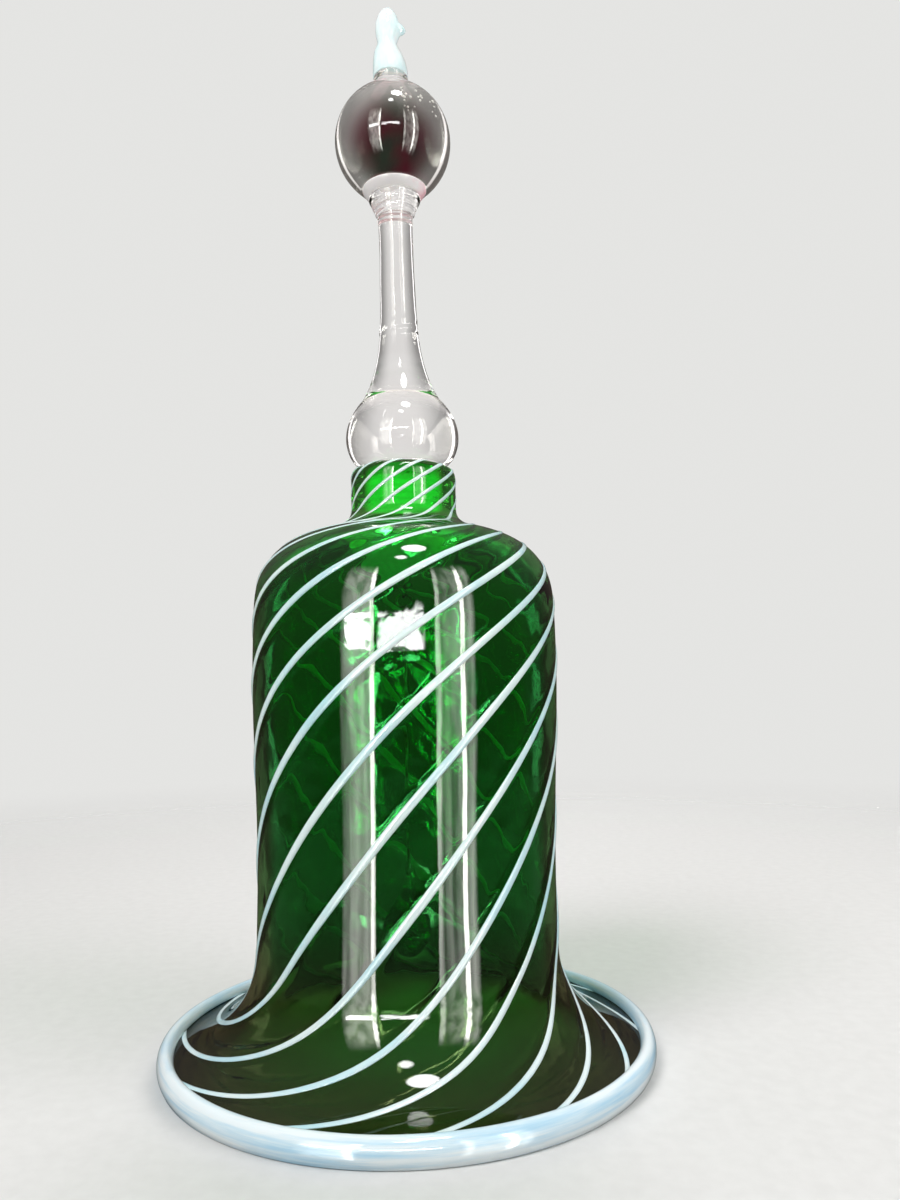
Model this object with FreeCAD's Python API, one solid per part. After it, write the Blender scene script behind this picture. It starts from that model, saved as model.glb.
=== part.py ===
import FreeCAD, Part
import math
import os

from FreeCAD import Vector

# A blown-glass hand bell that stands upright on its rim.
# Frame: millimetres, +Z up along the bell's axis, origin at the centre of the
# ring on which the bell rests.  +X is the side that the finial's beak points to.
# Outlines are drawn as (radius, height) in the XZ plane and turned about Z.

# Shell
MOUTH_RADIUS = 71.5      # to the outside of the opal rim
BODY_RADIUS = 44.5       # where the flare meets the body
SHOULDER_RADIUS = 46.1   # the body's widest place
NECK_RADIUS = 16.3
NECK_FOOT = 160.0        # height where the straight neck starts
NECK_TOP = 173.5
NECK_ROUNDING = 3.0
WALL = 2.6               # glass thickness of body and flare
BORE_RADIUS = 8.0        # the neck's thick glass leaves this hole
BORE_FOOT = 161.0        # height where the bore opens into the bell
FLARE_RADIUS = 25.0      # the mouth curls out on this arc
FLARE_TOP = 29.0

# Opal rim: an oval band folded round the lip, worn flat where it stands
RIM_WIDTH = 4.8
RIM_HEIGHT = 7.6
RIM_CENTRE_HEIGHT = 3.4

# Opal trails: threads laid on the outside of the shell
TRAIL_COUNT = 12
TRAIL_STEP = 4.0         # spacing of the sections along a thread
OUTLINE_STEP = 0.1       # spacing at which the outline is walked
TRAIL_SINK = 0.6         # depth of a thread's centre, as a share of its radius
TRAIL_START = 2.4        # distance from the lip along the outline
TRAIL_END_GAP = 2.2      # stops this short of the neck's flat top
TRAIL_PHASE = -6.0       # where one thread crosses the body, from the -Y side
TRAIL_PHASE_AT = 125.0
# Slant from the upright, degrees, at a distance from the lip along the outline
TRAIL_SLANT = [(0, 77), (20, 63), (30, 51), (45, 39.5), (75, 39.5), (105, 44.5),
               (140, 58), (163, 66), (177, 49), (201, 60)]
# Radius of the thread at a distance from the lip: thickest on the body
TRAIL_RADIUS = [(0, 0.65), (30, 0.95), (60, 1.2), (120, 1.2), (160, 0.8), (201, 0.6)]

# Plaster that holds the handle
PLASTER_SPREAD = 17.5    # how far it spreads under the shoulder
PLASTER_BOTTOM = 143.8
PLASTER_BED_RADIUS = 12.0
PLASTER_BED_TOP = 174.8

# Clear handle: it leans a little from the bell's axis, as set by hand
HANDLE_LEAN = 1.2
PEG_RADIUS = 4.6
PEG_BOTTOM = 153.0
BULB_BOTTOM = 174.0
BULB_BOTTOM_RADIUS = 12.9
CREASE_RADIUS = 12.4     # where the bulb meets the flared stem
CREASE_HEIGHT = 194.9
STEM_TOP_RADIUS = 5.6
STEM_TOP = 256.8
COLLAR_RINGS = 3
COLLAR_TOP_RADIUS = 8.3
COLLAR_TOP = 263.2
RING_BULGE = 0.45
SEAT_TOP_RADIUS = 10.5
SEAT_TOP = 265.8
BALL_RADIUS = 18.8
BALL_CENTRE = 281.8
FINIAL_RADIUS = 5.7
FINIAL_COLLAR_TOP = 304.5
FINIAL_TOP = 329.6
# Finial: (height, x of the centre, half width in x, half depth in y)
FINIAL_SECTIONS = [(304.5, 0.0, 5.7, 5.7), (306.0, 0.0, 5.7, 5.62),
                   (307.5, -0.05, 5.65, 5.48), (309.0, -0.18, 5.5, 5.25),
                   (310.5, -0.35, 5.25, 4.95), (312.0, -0.58, 4.9, 4.6),
                   (313.5, -0.75, 4.4, 4.2), (315.0, -0.82, 3.75, 3.75),
                   (316.6, -0.8, 3.3, 3.4), (317.8, -0.7, 3.35, 3.3),
                   (319.0, -0.55, 3.7, 3.28), (320.3, -0.42, 4.05, 3.25),
                   (321.5, -0.35, 4.2, 3.2), (323.0, -0.42, 4.1, 3.1),
                   (324.5, -0.55, 3.8, 2.9), (326.0, -0.55, 3.35, 2.6),
                   (327.4, -0.5, 2.7, 2.15), (328.6, -0.42, 1.75, 1.5)]
# Beak: (x, height of the centre, half height, half depth)
BEAK_SECTIONS = [(0.5, 321.8, 2.9, 2.4), (2.8, 321.9, 2.3, 2.0), (4.6, 321.5, 1.4, 1.2)]
BEAK_TIP = (5.6, 321.1)

# Clapper and the wire that hangs it
STAPLE_WIRE = 0.6        # wire radii
LINK_WIRE = 0.5
ROD_WIRE = 0.5
LOOSE = 0.05             # gap between linked wires
STAPLE_HALF_WIDTH = 2.5
STAPLE_TOP = 150.5
STAPLE_SAG = 138.0       # height of the staple's lowest wire centre
LINK_RADIUS = 2.4
EYE_RADIUS = 2.2
DROP_RADIUS = 7.5
DROP_CENTRE = 33.5
DROP_NECK_RADIUS = 1.3
DROP_TOP = 50.0
ROD_BOTTOM = 37.0

LIP_RADIUS = BODY_RADIUS + FLARE_RADIUS
AXIS_FOOT = Vector(0, 0, 0)
UP = Vector(0, 0, 1)


def at(radius, height):
    return Vector(radius, 0, height)


def line(start, end):
    return Part.makeLine(at(*start), at(*end))


def arc(start, middle, end):
    return Part.Arc(at(*start), at(*middle), at(*end)).toShape()


def smooth(points, first=None, last=None):
    """A curve through (radius, height) points, with end directions if given."""
    curve = Part.BSplineCurve()
    places = [at(*p) for p in points]
    if first and last:
        curve.interpolate(Points=places, InitialTangent=at(*first), FinalTangent=at(*last))
    else:
        curve.interpolate(Points=places)
    return curve.toShape()


def turned(edges):
    """The solid made by turning a closed outline about the bell's axis."""
    return Part.Face(Part.Wire(edges)).revolve(AXIS_FOOT, UP, 360)


def lean(shape):
    """Tilts a piece of the handle about the middle of the neck's top."""
    shape.rotate(Vector(0, 0, NECK_TOP), Vector(0, 1, 0), -HANDLE_LEAN)
    return shape


def between(table, place):
    """Straight-line reading of a table of (place, value) pairs."""
    for (low, first), (high, second) in zip(table, table[1:]):
        if place <= high:
            return first + (second - first) * (place - low) / (high - low)
    return table[-1][1]


def shell_outside():
    """Outer outline of the shell, from the lip up to the neck's flat top."""
    slope = math.sqrt(0.5) * FLARE_RADIUS
    lip_height = FLARE_TOP - FLARE_RADIUS
    middle = (LIP_RADIUS - slope, FLARE_TOP - slope)
    flare = arc((LIP_RADIUS, lip_height), middle, (BODY_RADIUS, FLARE_TOP))
    body = smooth([(BODY_RADIUS, FLARE_TOP), (44.3, 45), (44.9, 75),
                   (SHOULDER_RADIUS, 109), (45.9, 127), (44.3, 138.8),
                   (38.4, 147.2), (28.0, 152.4), (19.4, 155.4), (NECK_RADIUS, NECK_FOOT)],
                  first=(0, 1), last=(0, 1))
    round_foot = NECK_TOP - NECK_ROUNDING
    neck = line((NECK_RADIUS, NECK_FOOT), (NECK_RADIUS, round_foot))
    bend = NECK_ROUNDING * math.sqrt(0.5)
    round_centre = NECK_RADIUS - NECK_ROUNDING
    rounding = arc((NECK_RADIUS, round_foot), (round_centre + bend, round_foot + bend),
                   (round_centre, NECK_TOP))
    return [flare, body, neck, rounding]


def make_bell_shell():
    inner_flare = FLARE_RADIUS + WALL
    slope = math.sqrt(0.5) * inner_flare
    lip_height = FLARE_TOP - FLARE_RADIUS
    inner_body = BODY_RADIUS - WALL
    top = line((NECK_RADIUS - NECK_ROUNDING, NECK_TOP), (BORE_RADIUS, NECK_TOP))
    bore = line((BORE_RADIUS, NECK_TOP), (BORE_RADIUS, BORE_FOOT))
    inside = smooth([(BORE_RADIUS, BORE_FOOT), (10.6, 156.2), (18.0, 152.6),
                     (27.0, 149.4), (36.0, 144.6), (41.3, 136.8), (43.2, 126.5),
                     (43.5, 109), (42.3, 75), (41.7, 45), (inner_body, FLARE_TOP)])
    flare = arc((inner_body, FLARE_TOP), (LIP_RADIUS - slope, FLARE_TOP - slope),
                (LIP_RADIUS, lip_height - WALL))
    lip = arc((LIP_RADIUS, lip_height - WALL), (LIP_RADIUS + WALL / 2, lip_height - WALL / 2),
              (LIP_RADIUS, lip_height))
    return turned(shell_outside() + [top, bore, inside, flare, lip])


def trail_path():
    """Places along one thread, evenly spaced: the distance from the lip along
    the outline, the outline point there, the outward and upward directions,
    the turn round the bell and the slant from the upright."""
    outline = Part.Wire(shell_outside())
    count = int(outline.Length / OUTLINE_STEP)
    spots = outline.discretize(Number=count + 1)
    step = outline.Length / count
    last = outline.Length - TRAIL_END_GAP
    turn = math.radians(TRAIL_PHASE)
    phase_turn = 0.0
    run = 0.0
    places = []
    for i in range(1, count):
        distance = i * step
        slant = math.radians(between(TRAIL_SLANT, distance))
        turn += math.tan(slant) / spots[i].x * step
        run += step / math.cos(slant)
        if distance <= TRAIL_PHASE_AT:
            phase_turn = turn - math.radians(TRAIL_PHASE)
        if TRAIL_START <= distance <= last and run >= TRAIL_STEP:
            run = 0.0
            upward = (spots[i + 1] - spots[i - 1]).normalize()
            outward = Vector(upward.z, 0, -upward.x)
            places.append((distance, spots[i], outward, upward, turn, slant))
    return [(d, spot, out, up, t - phase_turn, slant) for d, spot, out, up, t, slant in places]


def trail_ring(distance, spot, outward, upward, turn, slant):
    """The round section of a thread, as two half circles."""
    radius = between(TRAIL_RADIUS, distance)
    centre = spot - outward * (radius * TRAIL_SINK)
    out = outward * radius
    side = (Vector(0, 1, 0) * math.cos(slant) - upward * math.sin(slant)) * radius
    ring = Part.Wire([Part.Arc(centre - side, centre + out, centre + side).toShape(),
                      Part.Arc(centre + side, centre - out, centre - side).toShape()])
    ring.rotate(AXIS_FOOT, UP, math.degrees(turn) - 90)
    return ring


def make_trail():
    """One opal thread: a round bead sunk into the outside of the shell."""
    rings = [trail_ring(*place) for place in trail_path()]
    faces = [Part.Face(rings[0]), Part.Face(rings[-1])]
    for low, high in zip(rings, rings[1:]):
        faces += Part.makeLoft([low, high], False, True).Faces
    skin = Part.makeShell(faces)
    skin.sewShape()
    return Part.makeSolid(skin)


def make_opal_trails():
    trail = make_trail()
    trails = []
    for i in range(TRAIL_COUNT):
        copy = trail.copy()
        copy.rotate(AXIS_FOOT, UP, i * 360 / TRAIL_COUNT)
        trails.append(copy)
    return Part.makeCompound(trails)


def make_rim_wrap(shell):
    centre = at(MOUTH_RADIUS - RIM_WIDTH / 2, RIM_CENTRE_HEIGHT)
    oval = Part.Ellipse(centre + Vector(0, 0, RIM_HEIGHT / 2), centre + Vector(RIM_WIDTH / 2, 0, 0),
                        centre)
    band = turned([oval.toShape()])
    side = 2 * MOUTH_RADIUS + 10
    ground = Part.makeBox(side, side, RIM_HEIGHT, Vector(-side / 2, -side / 2, -RIM_HEIGHT))
    return band.cut(ground).cut(shell)


def make_handle_stem():
    peg = [line((0, PEG_BOTTOM), (PEG_RADIUS - 0.8, PEG_BOTTOM)),
           line((PEG_RADIUS - 0.8, PEG_BOTTOM), (PEG_RADIUS, PEG_BOTTOM + 2)),
           line((PEG_RADIUS, PEG_BOTTOM + 2), (PEG_RADIUS, BULB_BOTTOM)),
           line((PEG_RADIUS, BULB_BOTTOM), (BULB_BOTTOM_RADIUS, BULB_BOTTOM))]
    bulb = smooth([(BULB_BOTTOM_RADIUS, BULB_BOTTOM), (14.6, 175.1), (16.7, 178.2),
                   (17.7, 183.6), (16.2, 189.4), (CREASE_RADIUS, CREASE_HEIGHT)])
    stem = smooth([(CREASE_RADIUS, CREASE_HEIGHT), (9.8, 200.3), (8.1, 205.4),
                   (6.8, 211.7), (6.1, 218.5), (5.7, 229.4), (5.45, 242.3),
                   (STEM_TOP_RADIUS, STEM_TOP)])
    rings = []
    step = (COLLAR_TOP - STEM_TOP) / COLLAR_RINGS
    widen = (COLLAR_TOP_RADIUS - STEM_TOP_RADIUS) / COLLAR_RINGS
    for i in range(COLLAR_RINGS):
        low = (STEM_TOP_RADIUS + i * widen, STEM_TOP + i * step)
        high = (low[0] + widen, low[1] + step)
        crown = (low[0] + widen / 2 + RING_BULGE, low[1] + step / 2 - RING_BULGE / 2)
        rings.append(arc(low, crown, high))
    close = [line((COLLAR_TOP_RADIUS, COLLAR_TOP), (0, COLLAR_TOP)),
             line((0, COLLAR_TOP), (0, PEG_BOTTOM))]
    return lean(turned(peg + [bulb, stem] + rings + close))


def make_ball_seat():
    return lean(turned([line((0, COLLAR_TOP), (COLLAR_TOP_RADIUS, COLLAR_TOP)),
                        arc((COLLAR_TOP_RADIUS, COLLAR_TOP), (9.5, 264.4),
                            (SEAT_TOP_RADIUS, SEAT_TOP)),
                        line((SEAT_TOP_RADIUS, SEAT_TOP), (0, SEAT_TOP)),
                        line((0, SEAT_TOP), (0, COLLAR_TOP))]))


def ball_top():
    """Height of the flat on the ball under the finial."""
    return BALL_CENTRE + math.sqrt(BALL_RADIUS ** 2 - FINIAL_RADIUS ** 2)


def make_ball_knop():
    # The ball's underside is a cone from the seat that touches the sphere.
    drop = BALL_CENTRE - SEAT_TOP
    reach = math.hypot(SEAT_TOP_RADIUS, drop)
    angle = math.atan2(SEAT_TOP_RADIUS, drop) + math.acos(BALL_RADIUS / reach)
    touch = (BALL_RADIUS * math.sin(angle), BALL_CENTRE - BALL_RADIUS * math.cos(angle))
    top = (FINIAL_RADIUS, ball_top())
    return lean(turned([line((0, SEAT_TOP), (SEAT_TOP_RADIUS, SEAT_TOP)),
                        line((SEAT_TOP_RADIUS, SEAT_TOP), touch),
                        arc(touch, (BALL_RADIUS, BALL_CENTRE), top),
                        line(top, (0, top[1])),
                        line((0, top[1]), (0, SEAT_TOP))]))


def make_finial_collar():
    low = ball_top()
    middle = (FINIAL_RADIUS - 0.25, (low + FINIAL_COLLAR_TOP) / 2)
    return lean(turned([line((0, low), (FINIAL_RADIUS, low)),
                        arc((FINIAL_RADIUS, low), middle, (FINIAL_RADIUS, FINIAL_COLLAR_TOP)),
                        line((FINIAL_RADIUS, FINIAL_COLLAR_TOP), (0, FINIAL_COLLAR_TOP)),
                        line((0, FINIAL_COLLAR_TOP), (0, low))]))


def oval_wire(centre, first, second):
    """A closed smooth oval with the two given half-axis vectors."""
    points = []
    for i in range(12):
        angle = 2 * math.pi * i / 12
        points.append(centre + first * math.cos(angle) + second * math.sin(angle))
    curve = Part.BSplineCurve()
    curve.interpolate(Points=points, PeriodicFlag=True)
    return Part.Wire(curve.toShape())


def make_finial():
    head = [oval_wire(Vector(x, 0, z), Vector(width, 0, 0), Vector(0, depth, 0))
            for z, x, width, depth in FINIAL_SECTIONS]
    tip = Part.Vertex(Vector(FINIAL_SECTIONS[-1][1], 0, FINIAL_TOP))
    beak = [oval_wire(Vector(x, 0, z), Vector(0, 0, height), Vector(0, depth, 0))
            for x, z, height, depth in BEAK_SECTIONS]
    point = Part.Vertex(Vector(BEAK_TIP[0], 0, BEAK_TIP[1]))
    body = Part.makeLoft(head + [tip], True).fuse(Part.makeLoft(beak + [point], True))
    return lean(body)


def make_hanger_eye():
    """A wire staple: two legs set in the plaster, joined by a half circle."""
    bend = STAPLE_SAG + STAPLE_HALF_WIDTH
    path = Part.Wire([line((-STAPLE_HALF_WIDTH, STAPLE_TOP), (-STAPLE_HALF_WIDTH, bend)),
                      arc((-STAPLE_HALF_WIDTH, bend), (0, STAPLE_SAG), (STAPLE_HALF_WIDTH, bend)),
                      line((STAPLE_HALF_WIDTH, bend), (STAPLE_HALF_WIDTH, STAPLE_TOP))])
    section = Part.Wire(Part.makeCircle(STAPLE_WIRE, at(-STAPLE_HALF_WIDTH, STAPLE_TOP), UP))
    return path.makePipeShell([section], True, False)


def link_sag():
    """Height of the link's lowest wire centre."""
    return STAPLE_SAG + STAPLE_WIRE + LOOSE + LINK_WIRE - 2 * LINK_RADIUS


def make_clapper_link():
    centre = Vector(0, 0, link_sag() + LINK_RADIUS)
    return Part.makeTorus(LINK_RADIUS, LINK_WIRE, centre, Vector(1, 0, 0))


def make_clapper_wire():
    eye_centre = link_sag() + LINK_WIRE + LOOSE + ROD_WIRE - EYE_RADIUS
    eye = Part.makeTorus(EYE_RADIUS, ROD_WIRE, Vector(0, 0, eye_centre), Vector(0, 1, 0))
    rod_top = eye_centre - EYE_RADIUS
    rod = Part.makeCylinder(ROD_WIRE, rod_top - ROD_BOTTOM, Vector(0, 0, ROD_BOTTOM))
    return eye.fuse(rod)


def make_clapper_drop(wire):
    bottom = DROP_CENTRE - DROP_RADIUS
    bowl = arc((0, bottom), (DROP_RADIUS * math.sqrt(0.5), DROP_CENTRE - DROP_RADIUS * math.sqrt(0.5)),
               (DROP_RADIUS, DROP_CENTRE))
    taper = smooth([(DROP_RADIUS, DROP_CENTRE), (5.4, 39.6), (2.4, 44.6),
                    (DROP_NECK_RADIUS, DROP_TOP)], first=(0, 1), last=(0, 1))
    close = [line((DROP_NECK_RADIUS, DROP_TOP), (0, DROP_TOP)), line((0, DROP_TOP), (0, bottom))]
    return turned([bowl, taper] + close).cut(wire)


def make_neck_plaster(shell, stem, staple):
    plug = [line((0, PLASTER_BED_TOP), (PLASTER_BED_RADIUS, PLASTER_BED_TOP)),
            line((PLASTER_BED_RADIUS, PLASTER_BED_TOP), (PLASTER_BED_RADIUS, NECK_TOP - 1)),
            line((PLASTER_BED_RADIUS, NECK_TOP - 1), (BORE_RADIUS + 1, NECK_TOP - 1)),
            line((BORE_RADIUS + 1, NECK_TOP - 1), (BORE_RADIUS + 1, NECK_FOOT - 1)),
            line((BORE_RADIUS + 1, NECK_FOOT - 1), (PLASTER_SPREAD, 154.5)),
            line((PLASTER_SPREAD, 154.5), (PLASTER_SPREAD, 151.0)),
            smooth([(PLASTER_SPREAD, 151.0), (16.2, 147.6), (11.5, 145.0), (0, PLASTER_BOTTOM)],
                   first=(0, -1), last=(-1, 0)),
            line((0, PLASTER_BOTTOM), (0, PLASTER_BED_TOP))]
    return turned(plug).cut(shell).cut(stem).cut(staple)


def write(name, shape):
    shape.exportStep("parts/" + name + ".step")


os.makedirs("parts", exist_ok=True)
bell_shell = make_bell_shell()
rim_wrap = make_rim_wrap(bell_shell)
handle_stem = make_handle_stem()
hanger_eye = make_hanger_eye()
clapper_wire = make_clapper_wire()

write("bell_shell", bell_shell)
write("opal_trails", make_opal_trails())
write("rim_wrap", rim_wrap)
write("neck_plaster", make_neck_plaster(bell_shell, handle_stem, hanger_eye))
write("handle_stem", handle_stem)
write("ball_seat", make_ball_seat())
write("ball_knop", make_ball_knop())
write("finial_collar", make_finial_collar())
write("finial", make_finial())
write("hanger_eye", hanger_eye)
write("clapper_link", make_clapper_link())
write("clapper_wire", clapper_wire)
write("clapper_drop", make_clapper_drop(clapper_wire))
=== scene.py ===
import bpy
import bmesh
import math
import random
from mathutils import Matrix, Vector, noise


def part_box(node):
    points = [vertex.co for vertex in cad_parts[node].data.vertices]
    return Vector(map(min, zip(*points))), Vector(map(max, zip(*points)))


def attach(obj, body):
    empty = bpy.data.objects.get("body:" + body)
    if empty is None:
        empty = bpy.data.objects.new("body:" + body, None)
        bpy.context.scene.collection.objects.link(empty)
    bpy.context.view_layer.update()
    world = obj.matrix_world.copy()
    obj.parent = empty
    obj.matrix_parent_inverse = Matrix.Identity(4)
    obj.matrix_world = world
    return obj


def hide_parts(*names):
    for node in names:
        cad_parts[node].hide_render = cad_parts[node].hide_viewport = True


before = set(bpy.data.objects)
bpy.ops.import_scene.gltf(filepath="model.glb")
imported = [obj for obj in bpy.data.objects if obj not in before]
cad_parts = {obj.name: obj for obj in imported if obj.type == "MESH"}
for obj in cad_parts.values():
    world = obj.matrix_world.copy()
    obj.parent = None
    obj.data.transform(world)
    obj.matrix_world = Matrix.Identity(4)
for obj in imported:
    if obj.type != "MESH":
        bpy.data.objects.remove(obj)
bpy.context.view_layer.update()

# Lengths are in millimetres until a mesh is made, and METRE turns them into metres.
# An outline is a list of (radius, height) places, about an upright axis through the
# middle of the bell. Angles are in degrees where they are named here, and in
# radians inside the functions.
METRE = 0.001
UPRIGHT = Matrix.Identity(4)

# Edges of a CAD mesh: points this close are one point, and points this close to the
# XZ plane lie on it
SAME_POINT = 0.002
ON_PLANE = 0.004

# Shell: where its straight neck starts, and how many points go round it
NECK_FOOT = 160.0
SHELL_AROUND = 360
# The middle of its wall is found at these heights, from points within the reach
WALL_ROWS = range(2, 174, 3)
WALL_ROW_REACH = 1.6
# The ridges that the threads leave on its inside. They drift from the threads by up
# to the drift, and end below the neck.
RIDGE_HEIGHT = 0.4
RIDGE_HALF_WIDTH = 1.3
RIDGE_DRIFT = 0.9
RIDGE_GAP_BELOW_NECK = 6.0

# Opal threads. The slants, from straight up, are those of the CAD model. The tables
# go by distance from the lip of the mouth along the shell's outside.
THREAD_COUNT = 12
THREAD_PHASE = -6.0
THREAD_PHASE_AT = 125.0
THREAD_SLANT = [(0, 77), (20, 63), (30, 51), (45, 39.5), (75, 39.5), (105, 44.5),
                (140, 58), (163, 66), (177, 49), (201, 60)]
THREAD_HALF_WIDTH = [(0, 0.7), (30, 0.9), (60, 1.15), (120, 1.15), (148, 0.95),
                     (165, 0.6), (201, 0.5)]
# A thread starts this far from the lip, has a ring of points after each gap, and
# thins over its tail at the neck's top
THREAD_START = 2.2
THREAD_RING_GAP = 0.9
THREAD_TAIL = 2.5
THREAD_AROUND = 14
# How far a thread stands out of the glass and is sunk in it, in half widths
THREAD_RISE = 0.45
THREAD_SINK = 0.12
# The widest point of the shell lies this far outside its lip
LIP_LEAD = 1.3

# Ball, which is cut flat under the finial's collar
BALL_RADIUS = 18.8
BALL_FLAT_DEPTH = 0.6
BUBBLE_COUNT = 26

# Casts of clear glass, and the ball's maroon and deep green middle, painted shade of the dark
# room that the clear ball shows
CLEAR_CASTS = ((0.96, 0.93, 0.93), (0.97, 0.95, 0.95))
PAINTED_MAROON = (0.075, 0.012, 0.02)
PAINTED_DEEP_GREEN = (0.018, 0.045, 0.028)

# Camera: its place, the way it looks, which way is up, and the lens for a sensor
# 36 mm wide
CAMERA_PLACE = (14.0, -277.8, 104.8)
CAMERA_FORWARD = (0.0, 0.9952, 0.0976)
CAMERA_UP = (0.0162, -0.0976, 0.9951)
CAMERA_LENS = 27.0

# Lights in the reflections: angles are from the eye, to the right and upward. The
# soft boxes and the window bar are (angle, brightness) stops across the room, and a
# lamp is its two angles and its half width.
ROOM_SPAN = 160.0
SOFT_BOXES = [(-45, 0.0), (-42, 0.16), (-30, 0.22), (-23.5, 0.2), (-22.5, 1.0),
              (-20.5, 1.0), (-19.5, 0.0), (24, 0.0), (25, 0.3), (27, 0.3),
              (28.5, 0.06), (34, 0.12), (42.5, 0.14), (43.5, 1.0), (46, 1.0),
              (47, 0.1), (51, 0.22), (55, 0.0)]
WINDOW_BAR = [(-42, 0.0), (-41, 1.0), (-23, 1.0), (-22, 0.0), (-18, 0.0), (-17, 0.9),
              (15, 1.0), (17, 0.0)]
LAMPS = [(-2, 57, 3.0), (20, 74, 6.5)]
LIGHTS_STRENGTH = 26.0
ROOM_DARK = [(0.0, (0.04, 0.03, 0.022)), (0.5, (0.06, 0.045, 0.034)),
             (1.0, (0.24, 0.23, 0.22))]
# Bright strips far to the sides, which light the rims of clear glass: the angles
# where each begins, is at its full strength, starts to fade and ends
RIM_STRIPS = (112.0, 116.0, 121.0, 125.0)
RIM_STRENGTH = 2.2
# The backdrop's colour, and the share of it that lights the matt surfaces
BACKDROP = (0.78, 0.78, 0.765)
BACKDROP_GLOW = 0.52
# What is seen through both walls of the bell is dimmed to this share, painted shade
#  inside the bell, so that the threads on its far side stand out.
HOLLOW_DIM = 0.15

# Lamps on the stage: name, place, height that it is aimed at, width and power
STAGE_LAMPS = [("key", (-500, -600, 900), 120, 500, 9.0),
               ("fill", (700, -300, 600), 150, 600, 4.0),
               ("back", (100, 700, 700), 150, 600, 4.5)]
FLOOR_RINGS = [60, 120, 240, 430, 640, 860]
FLOOR_AROUND = 96


# ---------------------------------------------------------------- outlines

def corner_box(node):
    """Lowest and highest corner of a CAD node."""
    low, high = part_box(node)
    return low / METRE, high / METRE


def handle_tilt():
    """The matrix that leans the handle, worked out from the ball's place."""
    pivot = Vector((0, 0, corner_box("bell_shell")[1].z))
    low, high = corner_box("ball_knop")
    middle = (low + high) / 2 - pivot
    turn = Matrix.Rotation(math.atan2(middle.x, middle.z), 4, "Y")
    return Matrix.Translation(pivot) @ turn @ Matrix.Translation(-pivot)


def seam_chains(node, tilt):
    """Runs of (radius, height) along the edges of a CAD node that lie in its
    XZ half plane, after taking the handle's lean off."""
    bm = bmesh.new()
    bm.from_mesh(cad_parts[node].data)
    bmesh.ops.scale(bm, vec=(1 / METRE,) * 3, verts=bm.verts)
    bmesh.ops.transform(bm, matrix=tilt.inverted(), verts=bm.verts)
    bmesh.ops.remove_doubles(bm, verts=bm.verts, dist=SAME_POINT)
    on_seam = {v for v in bm.verts if abs(v.co.y) < ON_PLANE and v.co.x > -ON_PLANE}
    near = {v: [] for v in on_seam}
    for edge in bm.edges:
        a, b = edge.verts
        if a in on_seam and b in on_seam:
            near[a].append(b)
            near[b].append(a)
    chains = []
    used = set()
    for start in sorted(on_seam, key=lambda v: (len(near[v]), v.co.z, v.co.x)):
        if start in used or not near[start]:
            continue
        chain = [start]
        used.add(start)
        while True:
            ahead = [v for v in near[chain[-1]] if v not in used]
            if not ahead:
                break
            chain.append(ahead[0])
            used.add(ahead[0])
        chains.append([(max(v.co.x, 0.0), v.co.z) for v in chain])
    bm.free()
    return [chain for chain in chains if len(chain) > 1]


def joined(chains):
    """One run made of all the chains, each joined at its nearest end."""
    chains = sorted(chains, key=len)
    path = chains.pop()
    while chains:
        best = None
        for i, chain in enumerate(chains):
            for at_end in (True, False):
                for flipped in (True, False):
                    end = path[-1] if at_end else path[0]
                    other = chain[-1] if flipped else chain[0]
                    gap = math.dist(end, other)
                    if best is None or gap < best[0]:
                        best = (gap, i, at_end, flipped)
        _, i, at_end, flipped = best
        chain = chains.pop(i)
        if flipped:
            chain = chain[::-1]
        path = path + chain if at_end else chain[::-1] + path
    return path


def resampled(path, step):
    """The same run with its points evenly spaced, about a step apart."""
    lengths = [0.0]
    for a, b in zip(path, path[1:]):
        lengths.append(lengths[-1] + math.dist(a, b))
    count = max(2, round(lengths[-1] / step))
    out = []
    k = 0
    for i in range(count + 1):
        want = lengths[-1] * i / count
        while k < len(lengths) - 2 and lengths[k + 1] < want:
            k += 1
        span = max(lengths[k + 1] - lengths[k], 1e-9)
        share = min(max((want - lengths[k]) / span, 0.0), 1.0)
        a, b = path[k], path[k + 1]
        out.append((a[0] + (b[0] - a[0]) * share, a[1] + (b[1] - a[1]) * share))
    return out


def softened(path, passes, ring):
    """Rounds the corners of a run, as the fire does to glass. Past an end on the
    axis, an open run goes on as its own mirror image."""
    for _ in range(passes):
        last = len(path) - 1
        new = []
        for i, p in enumerate(path):
            before = (-path[1][0], path[1][1])
            after = (-path[-2][0], path[-2][1])
            if ring or i > 0:
                before = path[i - 1]
            if ring or i < last:
                after = path[(i + 1) % (last + 1)]
            new.append(tuple(0.5 * p[k] + 0.25 * (before[k] + after[k]) for k in (0, 1)))
        path = new
    return path


def outline(node, step, passes, ring=False, tilt=UPRIGHT):
    """The smooth outline of a turned CAD node. A ring closes on itself, and any
    other outline runs from the axis to the axis."""
    path = joined(seam_chains(node, tilt))
    if ring:
        path = path + [path[0]]
        path = resampled(path, step)[:-1]
    else:
        path = [(0.0, path[0][1])] + path + [(0.0, path[-1][1])]
        path = resampled([p for i, p in enumerate(path) if i == 0 or p != path[i - 1]], step)
    return softened(path, passes, ring)


def between(table, place):
    """Straight-line reading of a table of (place, value) pairs."""
    for (low, first), (high, second) in zip(table, table[1:]):
        if place <= high:
            return first + (second - first) * (place - low) / (high - low)
    return table[-1][1]


# ------------------------------------------------------------------ meshes

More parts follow.
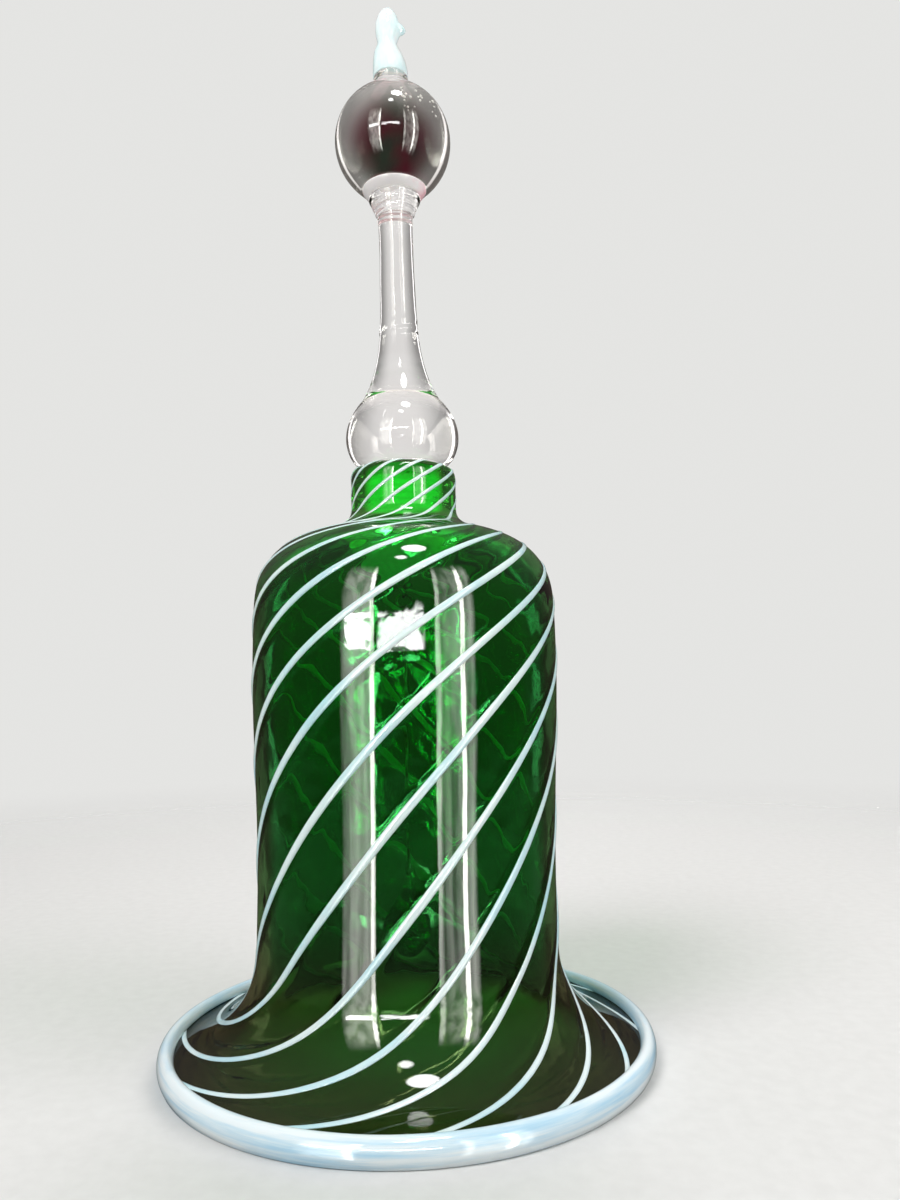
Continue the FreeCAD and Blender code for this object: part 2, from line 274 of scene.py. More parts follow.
def new_piece(name, points, faces, material, body, nodes=(), matrix=None):
    """Makes a smooth mesh from places in millimetres and lets it ride a body."""
    mesh = bpy.data.meshes.new(name)
    if matrix:
        points = [matrix @ Vector(p) for p in points]
    mesh.from_pydata([Vector(p) * METRE for p in points], [], faces)
    mesh.validate()
    bm = bmesh.new()
    bm.from_mesh(mesh)
    bmesh.ops.recalc_face_normals(bm, faces=bm.faces)
    bm.to_mesh(mesh)
    bm.free()
    mesh.shade_smooth()
    mesh.materials.append(material)
    piece = bpy.data.objects.new(name, mesh)
    bpy.context.scene.collection.objects.link(piece)
    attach(piece, body)
    if nodes:
        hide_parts(*nodes)
    return piece


def about_axis(angle, radius, height=0.0):
    """The place at an angle about the axis, at a radius and a height."""
    return (radius * math.cos(angle), radius * math.sin(angle), height)


def lathe(path, segments, ring, wobble):
    """Points and faces of an outline turned about the axis. The wobble says how
    far a place moves along the outline's normal."""
    count = len(path)
    normals = []
    for i in range(count):
        a = path[i - 1] if ring or i > 0 else path[0]
        b = path[(i + 1) % count] if ring or i < count - 1 else path[-1]
        length = max(math.dist(a, b), 1e-9)
        normals.append(((b[1] - a[1]) / length, (a[0] - b[0]) / length))
    points = []
    rows = []
    for i, (radius, height) in enumerate(path):
        if not ring and i in (0, count - 1):
            rows.append([len(points)] * segments)
            points.append((0.0, 0.0, height))
            continue
        row = []
        for k in range(segments):
            angle = 2 * math.pi * k / segments
            push = wobble(angle, radius, height)
            outward, upward = normals[i]
            row.append(len(points))
            points.append(about_axis(angle, radius + outward * push, height + upward * push))
        rows.append(row)
    faces = []
    for i in range(count if ring else count - 1):
        low, high = rows[i], rows[(i + 1) % count]
        for k in range(segments):
            n = (k + 1) % segments
            corners = [low[k], low[n], high[n], high[k]]
            faces.append([c for j, c in enumerate(corners) if c != corners[j - 1]])
    return points, faces


def tube(rings):
    """Points and faces of a closed tube through rings with equal point counts."""
    points = []
    faces = []
    around = len(rings[0])
    for i, ring in enumerate(rings):
        points += ring
        if i:
            for k in range(around):
                n = (k + 1) % around
                low, high = (i - 1) * around, i * around
                faces.append([low + k, low + n, high + n, high + k])
    last = len(points) - around
    faces.append(list(range(around))[::-1])
    faces.append(list(range(last, last + around)))
    return points, faces


def waves(place, scale, seed):
    """Smooth noise from -1 to 1 at a place, with lumps about scale across."""
    return noise.noise(Vector(place) / scale + Vector((seed * 7.3, seed * 3.1, seed * 5.7)))


def swell(offset, width):
    """A rounded hump: 1 where the offset is 0, and soon 0 past the width."""
    return math.exp(-(offset / width) ** 2)


# --------------------------------------------------------------- materials

class Nodes:
    """A short way to write a node material or a world."""

    def __init__(self, owner):
        owner.use_nodes = True
        self.owner = owner
        self.tree = owner.node_tree
        self.tree.nodes.clear()

    def add(self, kind, values=None, **settings):
        """A shader node, with a number or another node's output for each input."""
        node = self.tree.nodes.new("ShaderNode" + kind)
        for key, value in settings.items():
            setattr(node, key, value)
        for key, value in (values or {}).items():
            self.put(node.inputs[key], value)
        return node

    def put(self, socket, value):
        """Links an output to an input, or sets the input to a plain value."""
        if isinstance(value, bpy.types.NodeSocket):
            self.tree.links.new(value, socket)
        else:
            socket.default_value = value

    def ramp(self, value, stops):
        """A colour ramp with (place, colour) stops."""
        node = self.add("ValToRGB", {"Fac": value})
        band = node.color_ramp.elements
        while len(band) < len(stops):
            band.new(0.5)
        for element, (place, colour) in zip(band, stops):
            element.position = place
            element.color = (*colour, 1.0)
        return node.outputs["Color"]

    def mix(self, factor, first, second, mode="MIX"):
        """Mixes two colours. Inputs 6 and 7 are the colours of this node."""
        node = self.add("Mix", {0: factor}, data_type="RGBA", blend_type=mode)
        for index, colour in ((6, first), (7, second)):
            plain = not isinstance(colour, bpy.types.NodeSocket)
            self.put(node.inputs[index], (*colour, 1.0) if plain else colour)
        return node.outputs[2]

    def grey(self, value):
        """A grey colour of this brightness."""
        return self.add("CombineColor", {0: value, 1: value, 2: value}).outputs[0]

    def dimmed(self, colour, share):
        """A colour times a brightness."""
        return self.mix(1.0, colour, self.grey(share), "MULTIPLY")

    def math(self, operation, *values):
        """A sum on one or two values."""
        node = self.add("Math", dict(enumerate(values)), operation=operation)
        return node.outputs[0]

    def place(self, stretch=(1, 1, 1)):
        """Object coordinates in metres times a stretch."""
        where = self.add("TexCoord").outputs["Object"]
        return self.add("Mapping", {"Vector": where, "Scale": stretch}).outputs["Vector"]

    def noise(self, scale, detail=4.0, stretch=(1, 1, 1), rough=0.5):
        """Cloudy noise from 0 to 1 over the surface."""
        return self.add("TexNoise", {"Vector": self.place(stretch), "Scale": scale,
                                     "Detail": detail, "Roughness": rough}).outputs["Fac"]

    def patches(self, across, up, scale, detail):
        """Cloudy noise from 0 to 1 over two angles."""
        where = self.add("CombineXYZ", {0: across, 1: up}).outputs[0]
        return self.add("TexNoise", {"Vector": where, "Scale": scale,
                                     "Detail": detail}).outputs["Fac"]

    def bump(self, height, strength, distance):
        """A normal for fine relief. The distance is in metres."""
        return self.add("Bump", {"Height": height, "Strength": strength,
                                 "Distance": distance}).outputs["Normal"]

    def smooth_step(self, value, low, high, first=0.0, second=1.0):
        """Goes smoothly from first to second as the value goes from low to high."""
        node = self.add("MapRange", {0: value, 1: low, 2: high, 3: first, 4: second},
                        interpolation_type="SMOOTHSTEP")
        return node.outputs[0]

    def facing(self):
        """0 where the surface faces the eye and 1 at its silhouette."""
        return self.add("LayerWeight", {"Blend": 0.5}).outputs["Facing"]

    def hollow(self):
        """1, or less for what is seen through both walls of the bell, as painted shade inside
        it: through one wall a ray has passed two faces of the glass, and through both four."""
        depth = self.add("LightPath").outputs["Transmission Depth"]
        return self.smooth_step(depth, 2.5, 3.5, 1.0, HOLLOW_DIM)

    def lit_through(self, shader, tint):
        """Lets light reach what is behind the glass, tinted on its way."""
        path = self.add("LightPath")
        indirect = self.math("MAXIMUM", path.outputs["Is Shadow Ray"],
                             path.outputs["Is Diffuse Ray"])
        clear = self.add("BsdfTransparent", {"Color": tint}).outputs[0]
        return self.blend(indirect, shader, clear)

    def principled(self, values):
        """The shader that every material here starts from."""
        return self.add("BsdfPrincipled", values).outputs[0]

    def blend(self, factor, first, second):
        """A mix of two shaders."""
        return self.add("MixShader", {0: factor, 1: first, 2: second}).outputs[0]

    def surface(self, shader):
        """Gives the material its shader and hands the material back."""
        self.add("OutputMaterial", {"Surface": shader})
        return self.owner


def paint(name):
    """The nodes of a new, empty material."""
    return Nodes(bpy.data.materials.new(name))


def green_glass(name):
    """Deep bottle green: olive at the flare, darkened there as painted shade of the floor
    under the bell, bright at the thick neck, and painted brown-black shade where the
    eye looks along the wall."""
    n = paint(name)
    edge_shade_brown = (0.05, 0.03, 0.015)
    edge_share = 0.96
    edge_width = 0.16
    body_edge_start = 0.48
    neck_edge_start = 0.21
    height = n.add("SeparateXYZ", {0: n.place()}).outputs["Z"]
    share = n.math("DIVIDE", height, corner_box("bell_shell")[1].z * METRE)
    drift = n.math("MULTIPLY", n.math("SUBTRACT", n.noise(scale=22.0, detail=3.0), 0.5), 0.07)
    share = n.math("ADD", share, drift)
    # The dark olive stops at the flare are painted shade of the floor under the bell.
    tint = n.ramp(share, [(0.0, (0.17, 0.17, 0.08)), (0.12, (0.14, 0.23, 0.08)),
                          (0.24, (0.07, 0.46, 0.12)), (0.62, (0.05, 0.56, 0.13)),
                          (0.8, (0.035, 0.58, 0.1)), (0.9, (0.018, 0.82, 0.035)),
                          (1.0, (0.012, 0.88, 0.028))])
    # Painted brown-black shade at the silhouettes, where the eye looks along the wall.
    start = n.smooth_step(height, (NECK_FOOT - 5) * METRE, (NECK_FOOT + 1) * METRE,
                          body_edge_start, neck_edge_start)
    edge = n.smooth_step(n.math("SUBTRACT", n.facing(), start), 0.0, edge_width)
    tint = n.mix(n.math("MULTIPLY", edge, edge_share), tint, edge_shade_brown)
    cords = n.noise(scale=70.0, detail=3.0, stretch=(1, 1, 0.3))
    relief = n.bump(cords, strength=0.08, distance=0.0005)
    glass = n.principled({"Base Color": tint, "Roughness": 0.012, "IOR": 1.5,
                          "Transmission Weight": 1.0, "Normal": relief})
    passing = n.add("Gamma", {"Color": tint, "Gamma": 0.5}).outputs[0]
    return n.surface(n.lit_through(glass, passing))


def clear_glass(name, casts=CLEAR_CASTS, painted_middle=0.0):
    """Glass with faint cords, mottled between two casts of colour. With a painted middle it
    has those casts only where the eye looks through its middle, as painted shade of the
    dark room that a solid ball shows, and it is clear where it faces away by more than
    the painted middle."""
    n = paint(name)
    cords = n.noise(scale=90.0, detail=3.0, stretch=(1, 1, 0.2))
    relief = n.bump(cords, strength=0.1, distance=0.0004)
    cast = n.ramp(n.noise(scale=75.0, detail=2.0), [(0.4, casts[0]), (0.58, casts[1])])
    if painted_middle:
        clearing = n.smooth_step(n.facing(), 0.06, painted_middle)
        cast = n.mix(clearing, cast, (0.95, 0.93, 0.9))
    glass = n.principled({"Base Color": cast, "Roughness": 0.006, "IOR": 1.5,
                          "Transmission Weight": 1.0, "Normal": relief})
    return n.surface(n.lit_through(glass, (0.95, 0.94, 0.93, 1.0)))


def opal_glass(name, light, blue, streak_scale, stretch, depth):
    """Milky glass, with blue streaks where the white is thin. Light sinks into it
    by the depth, in millimetres."""
    n = paint(name)
    streaks = n.noise(streak_scale, detail=5.0, stretch=stretch, rough=0.6)
    colour = n.ramp(streaks, [(0.0, blue), (0.38, blue), (0.56, light), (1.0, light)])
    rough = n.math("ADD", n.math("MULTIPLY", n.noise(scale=60.0, detail=3.0), 0.08), 0.06)
    cords = n.noise(scale=160.0, detail=3.0, stretch=(1, 1, 0.5))
    relief = n.bump(cords, strength=0.1, distance=0.0003)
    body = n.principled({"Base Color": colour, "Roughness": rough, "IOR": 1.5,
                         "Subsurface Weight": 0.15, "Subsurface Scale": depth * METRE,
                         "Subsurface Radius": (0.8, 1.0, 1.2), "Coat Weight": 0.3,
                         "Normal": relief})
    glow = n.add("BsdfTranslucent", {"Color": colour}).outputs[0]
    return n.surface(n.blend(0.15, body, glow))


def plaster():
    """Matt white plaster with pores, trowel ridges and a little grey dust."""
    n = paint("plaster_of_paris")
    pores = n.noise(scale=700.0, detail=6.0)
    lumps = n.noise(scale=120.0, detail=4.0, stretch=(1, 1, 2.5))
    colour = n.ramp(lumps, [(0.2, (0.72, 0.71, 0.66)), (0.6, (0.9, 0.89, 0.85)),
                            (1.0, (0.96, 0.95, 0.92))])
    height = n.math("ADD", n.math("MULTIPLY", pores, 0.3), lumps)
    relief = n.bump(height, strength=0.6, distance=0.0006)
    return n.surface(n.principled({"Base Color": colour, "Roughness": 0.85,
                                   "Normal": relief}))


def iron_wire():
    """Dull iron wire, browned in patches."""
    n = paint("iron_wire")
    rust = n.noise(scale=400.0, detail=5.0)
    colour = n.ramp(rust, [(0.3, (0.3, 0.29, 0.28)), (0.55, (0.22, 0.15, 0.1)),
                           (0.75, (0.16, 0.08, 0.04))])
    rough = n.math("ADD", n.math("MULTIPLY", rust, 0.4), 0.3)
    pits = n.noise(scale=1500.0, detail=3.0)
    relief = n.bump(pits, strength=0.4, distance=0.0002)
    return n.surface(n.principled({"Base Color": colour, "Metallic": 0.85,
                                   "Roughness": rough, "Normal": relief}))


def floor_paint():
    """Pale matt paint that fades away far from the bell."""
    n = paint("floor_pale")
    grain = n.noise(scale=220.0, detail=3.0)
    colour = n.ramp(grain, [(0.3, (0.6, 0.595, 0.585)), (0.7, (0.63, 0.625, 0.615))])
    # Seen through both walls of the bell the paint is darkened, painted shade inside the bell.
    coat = n.principled({"Base Color": n.dimmed(colour, n.hollow()), "Roughness": 0.7})
    spot = n.add("VectorMath", {0: n.place()}, operation="LENGTH").outputs["Value"]
    fade = n.smooth_step(spot, 200 * METRE, 850 * METRE)
    clear = n.add("BsdfTransparent").outputs[0]
    return n.surface(n.blend(fade, coat, clear))


# ------------------------------------------------------------------ pieces

def wall_middle():
    """(height, radius) up the middle of the shell's wall, for telling its
    inside from its outside."""
    path = outline("bell_shell", 1.0, 0, ring=True)
    table = []
    for height in WALL_ROWS:
        radii = [r for r, z in path if abs(z - height) < WALL_ROW_REACH]
        table.append((height, (min(radii) + max(radii)) / 2))
    return table


def outer_path():
    """The shell's outside from its widest point to the neck's top, finely spaced."""
    path = outline("bell_shell", 0.25, 1, ring=True)
    top = max(range(len(path)), key=lambda i: (round(path[i][1], 2), path[i][0]))
    lip = max(range(len(path)), key=lambda i: path[i][0])
    a_little_on = path[(lip + 8) % len(path)]
    step = 1 if a_little_on[1] > path[lip][1] else -1
    run = []
    i = lip
    while i != top:
        run.append(path[i])
        i = (i + step) % len(path)
    return resampled(run, 0.25)


def thread_places():
    """Evenly spaced places along a thread: distance from the lip, outline point,
    outward and upward directions, turn and slant."""
    path = outer_path()
    step = sum(math.dist(a, b) for a, b in zip(path, path[1:])) / (len(path) - 1)
    turn = 0.0
    phase_turn = 0.0
    run = 0.0
    places = []
    for i in range(1, len(path) - 1):
        distance = i * step - LIP_LEAD
        slant = math.radians(between(THREAD_SLANT, max(distance, 0.0)))
        radius, height = path[i]
        turn += math.tan(slant) / radius * step
        run += step / math.cos(slant)
        if distance <= THREAD_PHASE_AT:
            phase_turn = turn
        if distance > THREAD_START and run > THREAD_RING_GAP:
            run = 0.0
            a, b = path[i - 1], path[i + 1]
            up = Vector((b[0] - a[0], 0, b[1] - a[1])).normalized()
            out = Vector((up.z, 0, -up.x))
            places.append((distance, Vector((radius, 0, height)), out, up, turn, slant))
    start = math.radians(THREAD_PHASE - 90) - phase_turn
    return [(d, spot, out, up, t + start, s) for d, spot, out, up, t, s in places]


def make_shell(material, places):
    """The blown shell: nearly true outside, and uneven inside, with a ridge
    behind each thread."""
    path = outline("bell_shell", 0.8, 2, ring=True)
    middle = wall_middle()
    below_neck = [(spot.z, turn, slant) for _, spot, _, _, turn, slant in places
                  if spot.z < NECK_FOOT]
    turns = [(z, turn) for z, turn, _ in below_neck]
    slants = [(z, slant) for z, _, slant in below_neck]
    gap = 2 * math.pi / THREAD_COUNT
    turned_by = {}

    def wobble(angle, radius, height):
        place = about_axis(angle, radius, height)
        if radius > between(middle, height):
            return 0.04 * waves(place, scale=16.0, seed=1)
        if height not in turned_by:
            turned_by[height] = (between(turns, height), math.cos(between(slants, height)))
        turn, across = turned_by[height]
        ridge = 0.0
        if height < NECK_FOOT - RIDGE_GAP_BELOW_NECK:
            offset = (angle - turn + gap / 2) % gap - gap / 2
            offset *= radius * across
            offset += RIDGE_DRIFT * waves(place, scale=7.0, seed=4)
            ridge = RIDGE_HEIGHT * swell(offset, RIDGE_HALF_WIDTH)
        lumps = 0.16 * waves(place, scale=11.0, seed=2)
        return ridge + lumps + 0.05 * waves(place, scale=4.0, seed=6)

    points, faces = lathe(path, SHELL_AROUND, True, wobble)
    new_piece("shell_blown", points, faces, material, "bell", ["bell_shell"])


def make_threads(material, places):
    """Twelve beads of opal glass that wind up the shell to the neck's top."""
    last = places[-1][0]
    all_points = []
    all_faces = []
    for thread in range(THREAD_COUNT):
        shift = math.radians(thread * 360 / THREAD_COUNT)
        rings = []
        for distance, spot, out, up, turn, slant in places:
            half = between(THREAD_HALF_WIDTH, distance)
            half *= 1 + 0.1 * waves((distance, 0, 0), scale=16.0, seed=thread + 3)
            half *= min(1.0, 0.25 + (last - distance) / THREAD_TAIL)
            side = Vector((0, 1, 0)) * math.cos(slant) - up * math.sin(slant)
            spin = Matrix.Rotation(turn + shift, 3, "Z")
            ring = []
            for k in range(THREAD_AROUND):
                a = 2 * math.pi * k / THREAD_AROUND
                lift = THREAD_RISE * math.cos(a) - THREAD_SINK
                ring.append(spin @ (spot + out * (half * lift) + side * (half * math.sin(a))))
            rings.append(ring)
        points, faces = tube(rings)
        start = len(all_points)
        all_points += points
        all_faces += [[start + c for c in face] for face in faces]
    new_piece("threads_opal", all_points, all_faces, material, "bell",
              ["opal_trails"])


def make_rim(material):
    """The opal wrap of the mouth, slightly uneven but for the flat that it
    stands on."""
    path = outline("rim_wrap", 0.35, 2, ring=True)
    flat_top = 0.4
    rim_radius = 70

    def wobble(angle, radius, height):
        if height < flat_top:
            return 0.0
        return 0.16 * waves(about_axis(angle, rim_radius), scale=22.0, seed=5) - 0.1

    points, faces = lathe(path, 420, True, wobble)
    new_piece("rim_opal", points, faces, material, "bell", ["rim_wrap"])


def make_plaster(material):
    """The plug shows its ridges through the neck, and its ragged underside
    spreads below the shoulder."""
    low, high = corner_box("neck_plaster")
    shell_top = corner_box("bell_shell")[1].z
    bed = 11.9
    bore = 8.03
    plug_foot = 161.5
    ragged_below = 152.5
    ragged_full = 150.0
    path = [(0, high.z - 0.1), (bed, high.z - 0.5), (bed, shell_top + 0.05),
            (bore, shell_top + 0.05), (bore, 160.5), (9.9, 157.0), (14.5, 153.9),
            (17.4, 152.0), (16.6, 148.6), (11.8, 145.6), (0, low.z + 0.4)]
    path = softened(resampled(path, 0.35), 3, False)

    def wobble(angle, radius, height):
        place = about_axis(angle, radius, height)
        if height > plug_foot:
            ridge = math.sin(height * 2.9 + angle) * 0.06
            return ridge + 0.05 * waves(place, scale=3.0, seed=8) - 0.03
        ragged = (ragged_below - height) / (ragged_below - ragged_full)
        ragged = min(1.0, max(0.0, ragged))
        lobes = 1.1 * waves(about_axis(angle, 16), scale=5.5, seed=9)
        return ragged * (lobes - 0.7 + 0.5 * waves(place, scale=2.2, seed=11)) - 0.05

    points, faces = lathe(path, 240, False, wobble)
    new_piece("plaster_plug", points, faces, material, "bell", ["neck_plaster"])


def make_stem(material, lean):
    """The clear stem, with the slanting fold that runs round it where its flare
    begins. Its peg inside the neck stays true."""
    path = outline("handle_stem", 0.45, 2, tilt=lean)
    peg_top = 175
    fold_height = 218.3
    fold_slope = 0.28

    def wobble(angle, radius, height):
        if height < peg_top:
            return 0.0
        place = about_axis(angle, radius, height)
        above = height - fold_height - fold_slope * place[0]
        fold = 0.1 * swell(above - 1.4, 1.2) - 0.13 * swell(above, 0.7)
        return fold + 0.07 * waves(place, scale=9.0, seed=12)

    points, faces = lathe(path, 160, False, wobble)
    new_piece("stem_clear", points, faces, material, "bell", ["handle_stem"],
              lean)


def make_turned(name, node, material, tilt, body="bell", step=0.4):
    """A smooth, very slightly uneven copy of a turned CAD node."""
    path = outline(node, step, 2, tilt=tilt)

    def wobble(angle, radius, height):
        return 0.04 * waves(about_axis(angle, radius, height), scale=8.0, seed=14)

    points, faces = lathe(path, 160, False, wobble)
    new_piece(name, points, faces, material, body, [node], tilt)


def make_bubbles(material, lean):
    """Small air bubbles caught high in the ball: hollows, so they face inward.
    Their material is pale, a painted sparkle, so that they show as specks."""
    ball_top = corner_box("ball_knop")[1].z
    centre = Vector((0, 0, ball_top - BALL_RADIUS + BALL_FLAT_DEPTH))
    random.seed(11)
    points = []
    faces = []
    # They lie to the front and right, in the upper half
    for _ in range(BUBBLE_COUNT):
        angle = math.radians(random.uniform(-78, -18))
        rise = math.radians(random.uniform(6, 46))
        depth = random.uniform(12.5, 16.0)
        size = random.uniform(0.18, 0.48)
        spot = centre + Vector(about_axis(angle, depth * math.cos(rise), depth * math.sin(rise)))
        ball = bmesh.new()
        bmesh.ops.create_icosphere(ball, subdivisions=2, radius=size)
        start = len(points)
        for vert in ball.verts:
            points.append(spot + vert.co * (1 + 0.12 * waves(vert.co, scale=0.5, seed=3)))
        for face in ball.faces:
            faces.append([start + v.index for v in face.verts])
        ball.free()
    piece = new_piece("ball_bubbles", points, faces, material, "bell", (), lean)
    piece.data.flip_normals()


def make_finial(material):
    """The CAD finial melted into one soft pinched form."""
    piece = bpy.data.objects.new("finial_opal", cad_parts["finial"].data.copy())
    bpy.context.scene.collection.objects.link(piece)
    remesh = piece.modifiers.new("remesh", "REMESH")
    remesh.mode = "VOXEL"
    remesh.voxel_size = 0.3 * METRE
    melt = piece.modifiers.new("melt", "SMOOTH")
    melt.factor = 0.5
    melt.iterations = 3
    graph = bpy.context.evaluated_depsgraph_get()
    mesh = bpy.data.meshes.new_from_object(piece.evaluated_get(graph))
    piece.modifiers.clear()
    piece.data = mesh
    mesh.shade_smooth()
    mesh.materials.clear()
    mesh.materials.append(material)
    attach(piece, "bell")
    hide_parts("finial")


def coat_wires(material):
    """Gives the hanger's CAD wires their material. Their shape is kept."""
    for node in ("hanger_eye", "clapper_link", "clapper_wire"):
        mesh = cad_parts[node].data
        mesh.materials.clear()
        mesh.materials.append(material)
        mesh.shade_smooth()


# ------------------------------------------------------------------- stage

def make_floor(material):
    """A round floor, made of rings about the bell's foot."""
    points = [(0, 0, 0)]
    faces = []
    for radius in FLOOR_RINGS:
        for k in range(FLOOR_AROUND):
            points.append(about_axis(2 * math.pi * k / FLOOR_AROUND, radius))
    for k in range(FLOOR_AROUND):
        faces.append([0, 1 + k, 1 + (k + 1) % FLOOR_AROUND])
    for i in range(len(FLOOR_RINGS) - 1):
        low, high = 1 + i * FLOOR_AROUND, 1 + (i + 1) * FLOOR_AROUND
        for k in range(FLOOR_AROUND):
            n = (k + 1) % FLOOR_AROUND
            faces.append([low + k, high + k, high + n, low + n])
    mesh = bpy.data.meshes.new("floor")
    mesh.from_pydata([Vector(p) * METRE for p in points], [], faces)
    mesh.materials.append(material)
    floor = bpy.data.objects.new("floor", mesh)
    bpy.context.scene.collection.objects.link(floor)
    floor.visible_glossy = False


def room_ramp(n, across, stops, blue=1.0):
    """Brightness across the room, from (angle, brightness) stops. A share of blue
    below 1 makes the light warmer."""
    span = [(0.5 + angle / ROOM_SPAN, (v, v, v * blue)) for angle, v in stops]
    return n.ramp(across, span)


def soft_boxes(n, azimuth, rise, across):
    """Light of the two tall soft boxes, in patches and fading at both ends."""
    patches = n.patches(azimuth, n.math("MULTIPLY", rise, 0.6), scale=0.13, detail=3.0)
    ends = n.math("MULTIPLY", n.smooth_step(rise, 28.0, 42.0, 1.0, 0.0),
                  n.smooth_step(rise, -40.0, -20.0))
    ends = n.math("MULTIPLY", ends, n.smooth_step(patches, 0.3, 0.62, 0.35, 1.35))
    return n.dimmed(room_ramp(n, across, SOFT_BOXES, blue=0.93), ends)


def window_bar(n, azimuth, rise, across, wavy):
    """Light of the low window above the eye, broken into panes."""
    height = n.math("ADD", rise, n.math("MULTIPLY", wavy, 0.6))
    height = n.math("ADD", height, n.math("MULTIPLY", azimuth, -0.035))
    band = n.math("MULTIPLY", n.smooth_step(height, 8.6, 9.2),
                  n.smooth_step(height, 13.0, 14.0, 1.0, 0.0))
    panes = n.patches(n.math("MULTIPLY", azimuth, 0.12), height, scale=0.6, detail=2.0)
    band = n.math("MULTIPLY", band, n.smooth_step(panes, 0.38, 0.5, 0.06, 1.0))
    return n.dimmed(room_ramp(n, across, WINDOW_BAR), band)


def lamp(n, seen, azimuth, rise, size):
    """1 inside a small round lamp at two angles from the eye."""
    turn = math.radians(azimuth)
    lift = math.radians(rise)
    aim = (math.sin(turn) * math.cos(lift), math.sin(lift), -math.cos(turn) * math.cos(lift))
    close = n.add("VectorMath", {0: seen, 1: aim}, operation="DOT_PRODUCT").outputs["Value"]
    rim = math.cos(math.radians(size))
    return n.smooth_step(close, rim - 0.002, rim + 0.001)


def room_light(n, seen, azimuth, rise, y):
    """The room behind the eye, dim but for its lights."""
    wavy = n.patches(azimuth, rise, scale=0.22, detail=2.0)
    wavy = n.math("MULTIPLY", n.math("SUBTRACT", wavy, 0.5), 2.4)
    across = n.math("DIVIDE", n.math("ADD", azimuth, wavy), ROOM_SPAN)
    across = n.math("ADD", across, 0.5)
    lights = n.mix(1.0, soft_boxes(n, azimuth, rise, across),
                   window_bar(n, azimuth, rise, across, wavy), "ADD")
    for angles_and_size in LAMPS:
        lights = n.mix(lamp(n, seen, *angles_and_size), lights, (1.0, 1.0, 1.0), "ADD")
    strong = n.add("VectorMath", {0: lights, 3: LIGHTS_STRENGTH}, operation="SCALE").outputs[0]
    return n.mix(1.0, n.ramp(n.smooth_step(y, -1.0, 1.0), ROOM_DARK), strong, "ADD")


def field_light(n, azimuth, x):
    """The backdrop as it is seen through glass: darker to the sides, with a
    bright strip beyond on each side."""
    side = n.smooth_step(n.math("ABSOLUTE", x), 0.15, 0.75, 1.0, 0.4)
    field = n.dimmed(BACKDROP, side)
    around = n.math("ABSOLUTE", azimuth)
    inner, inner_full, outer_full, outer = RIM_STRIPS
    rims = n.math("MULTIPLY", n.smooth_step(around, inner, inner_full),
                  n.smooth_step(around, outer_full, outer, 1.0, 0.0))
    rims = n.math("MULTIPLY", rims, RIM_STRENGTH)
    field = n.mix(1.0, field, n.grey(rims), "ADD")
    # Dimmed where seen through both walls, painted shade inside the bell.
    return n.dimmed(field, n.hollow())


def make_world():
    """A studio that stays with the eye: a pale backdrop ahead, and behind the eye
    a dim room with tall soft boxes, a window bar and two lamps above. In the eye's
    own space x points right, y up and z forward."""
    world = bpy.data.worlds.new("studio")
    bpy.context.scene.world = world
    n = Nodes(world)
    way = n.add("TexCoord").outputs["Generated"]
    seen = n.add("VectorTransform", {0: way}, vector_type="VECTOR", convert_from="WORLD",
                 convert_to="CAMERA").outputs[0]
    x, y, z = n.add("SeparateXYZ", {0: seen}).outputs
    degree = 180 / math.pi
    azimuth = n.math("MULTIPLY", n.math("ARCTAN2", x, n.math("MULTIPLY", z, -1.0)), degree)
    rise = n.math("MULTIPLY", n.math("ARCSINE", y), degree)
    room = room_light(n, seen, azimuth, rise, y)
    through = n.mix(n.smooth_step(z, 0.0, 0.6), room, field_light(n, azimuth, x))
    path = n.add("LightPath").outputs
    in_glass = n.mix(path["Is Transmission Ray"], room, through)
    plain = n.mix(path["Is Camera Ray"], tuple(BACKDROP_GLOW * c for c in BACKDROP), BACKDROP)
    glassy = n.math("MAXIMUM", path["Is Glossy Ray"], path["Is Transmission Ray"])
    sky = n.add("Background", {"Color": n.mix(glassy, plain, in_glass)}).outputs[0]
    n.add("OutputWorld", {"Surface": sky})


def area_light(name, place, aim_height, width, power):
    """A round lamp that lights the stage and shows in no reflection."""
    data = bpy.data.lights.new(name, "AREA")
    data.shape = "DISK"
    data.size = width * METRE
    data.energy = power
    light = bpy.data.objects.new(name, data)
    light.location = Vector(place) * METRE
    aim = Vector((0, 0, aim_height)) * METRE - light.location
    light.rotation_mode = "QUATERNION"
    light.rotation_quaternion = aim.to_track_quat("-Z", "Y")
    bpy.context.scene.collection.objects.link(light)
    light.visible_camera = False
    light.visible_glossy = False
    light.visible_transmission = False


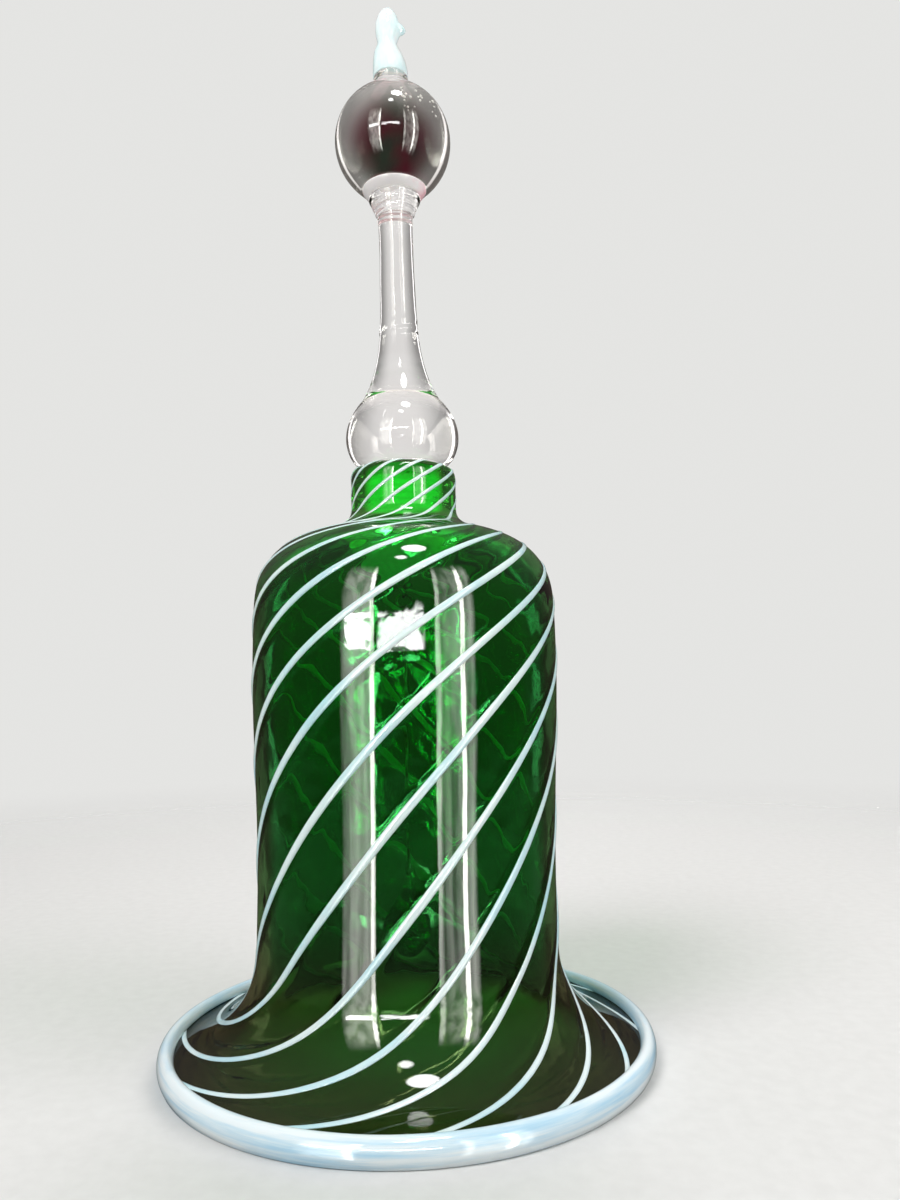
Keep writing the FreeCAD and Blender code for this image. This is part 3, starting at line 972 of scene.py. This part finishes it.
def make_camera():
    """The camera, low before the bell and looking slightly up."""
    data = bpy.data.cameras.new("camera")
    data.lens = CAMERA_LENS
    data.clip_start = 10 * METRE
    camera = bpy.data.objects.new("camera", data)
    forward = Vector(CAMERA_FORWARD).normalized()
    right = forward.cross(Vector(CAMERA_UP)).normalized()
    up = right.cross(forward)
    turn = Matrix((right, up, -forward)).transposed()
    camera.matrix_world = Matrix.Translation(Vector(CAMERA_PLACE) * METRE) @ turn.to_4x4()
    bpy.context.scene.collection.objects.link(camera)
    bpy.context.scene.camera = camera


def set_view():
    """Plain colours, and enough bounces for light to cross the glass walls."""
    scene = bpy.context.scene
    scene.view_settings.view_transform = "Standard"
    scene.cycles.max_bounces = 24
    scene.cycles.transmission_bounces = 20
    scene.cycles.glossy_bounces = 8
    scene.cycles.transparent_max_bounces = 24
    scene.cycles.caustics_reflective = False
    scene.cycles.caustics_refractive = False
    scene.cycles.use_denoising = True


# -------------------------------------------------------------------- build

lean = handle_tilt()
places = thread_places()

green = green_glass("glass_green")
clear = clear_glass("glass_clear")
# The ball's maroon and deep green middle is painted shade of the dark room that it shows.
ball_painted_dark = clear_glass("glass_ball", (PAINTED_MAROON, PAINTED_DEEP_GREEN), painted_middle=0.42)
threads = opal_glass("opal_thread", (0.84, 0.98, 1.0), (0.58, 0.86, 0.95), 30.0, (1, 1, 1), 2)
rim = opal_glass("opal_rim", (0.88, 0.96, 0.99), (0.5, 0.74, 0.9), 14.0, (1, 1, 22), 3)
tip = opal_glass("opal_finial", (0.96, 0.98, 0.98), (0.78, 0.96, 0.97), 110.0, (1, 1, 0.4), 3)
# The seat's near-white is a painted highlight at the joint of ball and stem, and its pink
# streaks a painted reflection of red.
seat = opal_glass("opal_seat", (0.98, 0.95, 0.95), (0.95, 0.6, 0.66), 60.0, (1, 1, 1), 1)
white = plaster()
drop = green_glass("glass_drop")

make_shell(green, places)
make_threads(threads, places)
make_rim(rim)
make_plaster(white)
make_stem(clear, lean)
make_turned("seat_ring_highlight", "ball_seat", seat, lean, step=0.25)
make_turned("ball_clear", "ball_knop", ball_painted_dark, lean)
# The bubbles take the white plaster as a painted sparkle.
make_bubbles(white, lean)
make_turned("collar_clear", "finial_collar", clear, lean, step=0.2)
make_finial(tip)
make_turned("drop_green", "clapper_drop", drop, UPRIGHT, "clapper")
coat_wires(iron_wire())

make_floor(floor_paint())
make_world()
for stage_lamp in STAGE_LAMPS:
    area_light(*stage_lamp)
make_camera()
set_view()
